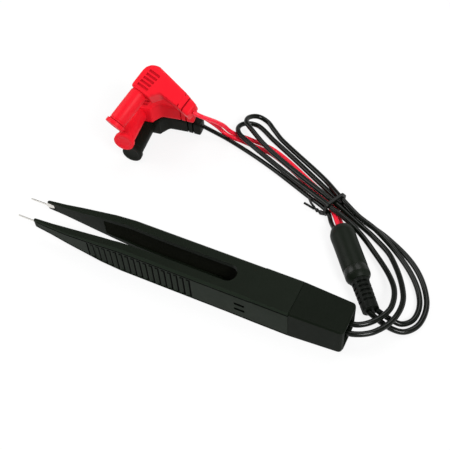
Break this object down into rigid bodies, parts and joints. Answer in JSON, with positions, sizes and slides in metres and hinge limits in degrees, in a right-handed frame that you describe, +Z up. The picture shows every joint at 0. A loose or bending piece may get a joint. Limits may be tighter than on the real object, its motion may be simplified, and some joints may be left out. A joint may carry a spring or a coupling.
{
  "type": "component tester tweezers",
  "caption": "Sprung test tweezers with flat probe tips, a tied cord, a splitter and right-angle plugs with pull-off caps.",
  "frame": {"origin": "centre of the box around the tweezers, at table height; the cord and plugs lie beside them", "axes": "+X from the probe tips to the cord outlet, +Y away from the viewer across the fingers, +Z up"},
  "size_m": [0.2171, 0.1288, 0.0502],
  "materials": {
    "body_plastic": "satin moulded",
    "cover_plastic": "fine textured",
    "clamp_rubber": "matte",
    "terminal_brass": "bare",
    "lead_red": "smooth",
    "contact_metal": "bright plated",
    "cord_black": "smooth satin",
    "wire_black": "smooth satin",
    "wire_red": "smooth satin",
    "splitter_plastic": "satin",
    "band_plastic": "satin",
    "relief_rubber": "matte",
    "tie_plastic": "smooth",
    "pin_nickel": "plated",
    "spring_brass": "bare",
    "plug_red": "soft satin",
    "plug_black": "soft satin"
  },
  "bodies": {
    "tester": {"body_block": "body_plastic", "near_side_panel": "cover_plastic", "far_side_panel": "cover_plastic", "end_cap": "cover_plastic", "cord_clamp": "clamp_rubber", "near_terminal": "terminal_brass", "far_terminal": "terminal_brass", "solder_leads": "lead_red", "strand_a": "cord_black", "strand_b": "cord_black", "splitter_body": "splitter_plastic", "splitter_band": "band_plastic", "splitter_relief": "relief_rubber", "twist_tie": "tie_plastic", "black_wire": "wire_black", "red_wire_a": "wire_red", "red_wire_b": "wire_red", "plug_a_body": "plug_red", "plug_a_sleeve": "plug_red", "plug_a_pin": "pin_nickel", "plug_a_spring": "spring_brass", "plug_b_body": "plug_red", "plug_b_sleeve": "plug_red", "plug_b_pin": "pin_nickel", "plug_b_spring": "spring_brass", "plug_c_body": "plug_black", "plug_c_sleeve": "plug_black", "plug_c_pin": "pin_nickel", "plug_c_spring": "spring_brass"},
    "far_arm": {"far_arm_shell": "body_plastic", "far_grip_cover": "cover_plastic", "far_contact": "contact_metal"},
    "near_arm": {"near_arm_shell": "body_plastic", "near_grip_cover": "cover_plastic", "near_contact": "contact_metal"},
    "cap_a": {"plug_a_cap": "plug_red"},
    "cap_b": {"plug_b_cap": "plug_red"},
    "cap_c": {"plug_c_cap": "plug_black"}
  },
  "joints": [
    {"name": "far_arm_flex", "type": "hinge", "parent": "tester", "child": "far_arm", "pos_m": [0.0295, 0.00775, 0.0099], "axis": [0, 0, 1], "range_deg": [0, 2.74], "stiffness_Nm_per_rad": 3.3},
    {"name": "near_arm_flex", "type": "hinge", "parent": "tester", "child": "near_arm", "pos_m": [0.0295, -0.00775, 0.0099], "axis": [0, 0, -1], "range_deg": [0, 2.74], "stiffness_Nm_per_rad": 3.3},
    {"name": "cap_a_pull", "type": "slide", "parent": "tester", "child": "cap_a", "axis": [-0.2735, -0.8722, -0.4056], "range_m": [0, 0.03]},
    {"name": "cap_b_pull", "type": "slide", "parent": "tester", "child": "cap_b", "axis": [0.1478, -0.989, 0], "range_m": [0, 0.03]},
    {"name": "cap_c_pull", "type": "slide", "parent": "tester", "child": "cap_c", "axis": [0.1357, -0.9907, 0], "range_m": [0, 0.03]}
  ]
}
